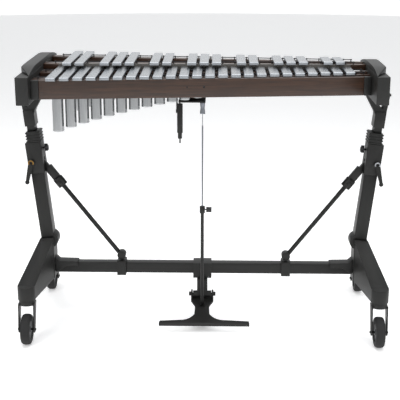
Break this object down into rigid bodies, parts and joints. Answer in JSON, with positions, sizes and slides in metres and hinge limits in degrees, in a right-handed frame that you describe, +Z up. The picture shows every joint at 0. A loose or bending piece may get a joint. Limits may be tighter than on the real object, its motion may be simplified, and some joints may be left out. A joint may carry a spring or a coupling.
{
  "type": "vibraphone",
  "caption": "Keyboard percussion instrument: two rows of metal bars over tube resonators, on a height-adjustable wheeled stand with a damper pedal.",
  "frame": {"origin": "on the floor, midway between the four castors", "axes": "+Z up, +X towards the high notes, -Y towards the player"},
  "size_m": [1.5086, 0.731, 1.116],
  "materials": {
    "bar_alloy": "satin anodised",
    "tube_alloy": "polished",
    "stained_wood": "dark stained, satin lacquer",
    "frame_black": "satin black powder coat",
    "cast_black": "satin black coated casting",
    "end_charcoal": "satin charcoal",
    "steel_bright": "zinc plated",
    "rod_grey": "satin grey",
    "tyre_rubber": "matte",
    "felt_grey": "wool felt",
    "cord_black": "braided",
    "post_rubber": "sleeved posts",
    "knob_plastic": "moulded",
    "belt_rubber": "matte",
    "motor_plastic": "moulded"
  },
  "bodies": {
    "stand": {"lower_column_left": "frame_black", "lower_column_right": "frame_black", "clamp_head_left": "cast_black", "clamp_head_right": "cast_black", "brace_lower_tube_left": "frame_black", "brace_lower_tube_right": "frame_black", "brace_collars": "cast_black", "brace_upper_tube_left": "frame_black", "brace_upper_tube_right": "frame_black", "brace_clamp_left": "cast_black", "brace_clamp_right": "cast_black", "cross_beam": "frame_black", "beam_socket_left": "cast_black", "beam_socket_right": "cast_black", "foot_left": "cast_black", "foot_right": "cast_black", "pedal_bracket": "cast_black"},
    "keyboard": {"natural_bars": "bar_alloy", "accidental_bars": "bar_alloy", "bar_cords": "cord_black", "cord_posts": "post_rubber", "natural_rails": "stained_wood", "accidental_rails": "stained_wood", "front_board": "stained_wood", "board_end_caps": "end_charcoal", "end_frame_left": "end_charcoal", "end_frame_right": "end_charcoal", "end_hood_left": "end_charcoal", "end_hood_right": "end_charcoal", "natural_resonators": "tube_alloy", "accidental_resonators": "tube_alloy", "resonator_straps": "steel_bright", "fan_motor": "motor_plastic", "drive_belts": "belt_rubber", "spring_housing": "frame_black", "damper_spring": "steel_bright"},
    "column_left": {"upper_column_left": "frame_black"},
    "column_right": {"upper_column_right": "frame_black"},
    "damper": {"damper_bar": "bar_alloy", "damper_felt": "felt_grey", "damper_yoke": "frame_black", "pull_rod": "rod_grey"},
    "pull_tube": {"pull_tube": "frame_black"},
    "rod_knob": {"rod_clamp_knob": "knob_plastic"},
    "pedal": {"pedal": "cast_black"},
    "lever_left": {"height_lever_left": "steel_bright"},
    "lever_right": {"height_lever_right": "steel_bright"},
    "knob_left": {"star_knob_left": "knob_plastic"},
    "knob_right": {"star_knob_right": "knob_plastic"},
    "fans_natural": {"fan_shaft_naturals": "steel_bright"},
    "fans_accidental": {"fan_shaft_accidentals": "steel_bright"},
    "drive": {"drive_pulley": "steel_bright"},
    "castor_front_left": {"castor_fork_front_left": "frame_black"},
    "wheel_front_left": {"castor_wheel_front_left": "tyre_rubber"},
    "castor_front_right": {"castor_fork_front_right": "frame_black"},
    "wheel_front_right": {"castor_wheel_front_right": "tyre_rubber"},
    "castor_back_left": {"castor_fork_back_left": "frame_black"},
    "wheel_back_left": {"castor_wheel_back_left": "tyre_rubber"},
    "castor_back_right": {"castor_fork_back_right": "frame_black"},
    "wheel_back_right": {"castor_wheel_back_right": "tyre_rubber"}
  },
  "joints": [
    {"name": "keyboard_height", "type": "slide", "parent": "stand", "child": "keyboard", "axis": [0, 0, 1], "range_m": [-0.02, 0.12]},
    {"name": "column_left_slide", "type": "slide", "parent": "stand", "child": "column_left", "axis": [-0.1045, 0, 0.9945], "range_m": [-0.021, 0.1215]},
    {"name": "column_right_slide", "type": "slide", "parent": "stand", "child": "column_right", "axis": [0.1045, 0, 0.9945], "range_m": [-0.021, 0.1215]},
    {"name": "pedal_press", "type": "hinge", "parent": "stand", "child": "pedal", "pos_m": [-0.005, -0.04, 0.117], "axis": [1, 0, 0], "range_deg": [0, 7], "stiffness_Nm_per_rad": 60, "springref_deg": -5.73},
    {"name": "pull_tube_drop", "type": "slide", "parent": "stand", "child": "pull_tube", "axis": [0, 0, -1], "range_m": [0, 0.006]},
    {"name": "damper_drop", "type": "slide", "parent": "keyboard", "child": "damper", "axis": [0, 0, -1], "range_m": [0, 0.006]},
    {"name": "rod_knob_turn", "type": "hinge", "parent": "pull_tube", "child": "rod_knob", "pos_m": [0.02, -0.09, 0.51], "axis": [1, 0, 0], "continuous": true},
    {"name": "fan_motor_spin", "type": "hinge", "parent": "keyboard", "child": "drive", "pos_m": [0.605, 0.02, 1.009], "axis": [1, 0, 0], "continuous": true},
    {"name": "fans_natural_spin", "type": "hinge", "parent": "keyboard", "child": "fans_natural", "pos_m": [0, -0.1045, 1.046], "axis": [0.9966, 0.0823, 0], "continuous": true},
    {"name": "fans_accidental_spin", "type": "hinge", "parent": "keyboard", "child": "fans_accidental", "pos_m": [0, 0.0995, 1.068], "axis": [0.9989, -0.0478, 0], "continuous": true},
    {"name": "height_lever_left_turn", "type": "hinge", "parent": "stand", "child": "lever_left", "pos_m": [-0.71283, -0.05, 0.6935], "axis": [0, 1, 0], "range_deg": [0, 100]},
    {"name": "height_lever_right_turn", "type": "hinge", "parent": "stand", "child": "lever_right", "pos_m": [0.71283, -0.05, 0.6935], "axis": [0, -1, 0], "range_deg": [0, 100]},
    {"name": "star_knob_left_turn", "type": "hinge", "parent": "stand", "child": "knob_left", "pos_m": [-0.65927, 0, 0.7484], "axis": [0.9945, 0, 0.1045], "continuous": true},
    {"name": "star_knob_right_turn", "type": "hinge", "parent": "stand", "child": "knob_right", "pos_m": [0.65927, 0, 0.7484], "axis": [-0.9945, 0, 0.1045], "continuous": true},
    {"name": "castor_front_left_swivel", "type": "hinge", "parent": "stand", "child": "castor_front_left", "pos_m": [-0.712, -0.273, 0.18], "axis": [0, 0, 1], "continuous": true},
    {"name": "wheel_front_left_roll", "type": "hinge", "parent": "castor_front_left", "child": "wheel_front_left", "pos_m": [-0.712, -0.303, 0.0625], "axis": [1, 0, 0], "continuous": true},
    {"name": "castor_front_right_swivel", "type": "hinge", "parent": "stand", "child": "castor_front_right", "pos_m": [0.712, -0.273, 0.18], "axis": [0, 0, 1], "continuous": true},
    {"name": "wheel_front_right_roll", "type": "hinge", "parent": "castor_front_right", "child": "wheel_front_right", "pos_m": [0.712, -0.303, 0.0625], "axis": [1, 0, 0], "continuous": true},
    {"name": "castor_back_left_swivel", "type": "hinge", "parent": "stand", "child": "castor_back_left", "pos_m": [-0.712, 0.273, 0.18], "axis": [0, 0, 1], "continuous": true},
    {"name": "wheel_back_left_roll", "type": "hinge", "parent": "castor_back_left", "child": "wheel_back_left", "pos_m": [-0.712, 0.303, 0.0625], "axis": [1, 0, 0], "continuous": true},
    {"name": "castor_back_right_swivel", "type": "hinge", "parent": "stand", "child": "castor_back_right", "pos_m": [0.712, 0.273, 0.18], "axis": [0, 0, 1], "continuous": true},
    {"name": "wheel_back_right_roll", "type": "hinge", "parent": "castor_back_right", "child": "wheel_back_right", "pos_m": [0.712, 0.303, 0.0625], "axis": [1, 0, 0], "continuous": true}
  ],
  "couplings": [
    {"joint": "column_left_slide", "follows": "keyboard_height", "ratio": 1.0055},
    {"joint": "column_right_slide", "follows": "keyboard_height", "ratio": 1.0055},
    {"joint": "pull_tube_drop", "follows": "pedal_press", "m_per_rad": 0.04617},
    {"joint": "damper_drop", "follows": "pedal_press", "m_per_rad": 0.04617},
    {"joint": "fans_natural_spin", "follows": "fan_motor_spin", "ratio": 1},
    {"joint": "fans_accidental_spin", "follows": "fan_motor_spin", "ratio": 1}
  ]
}
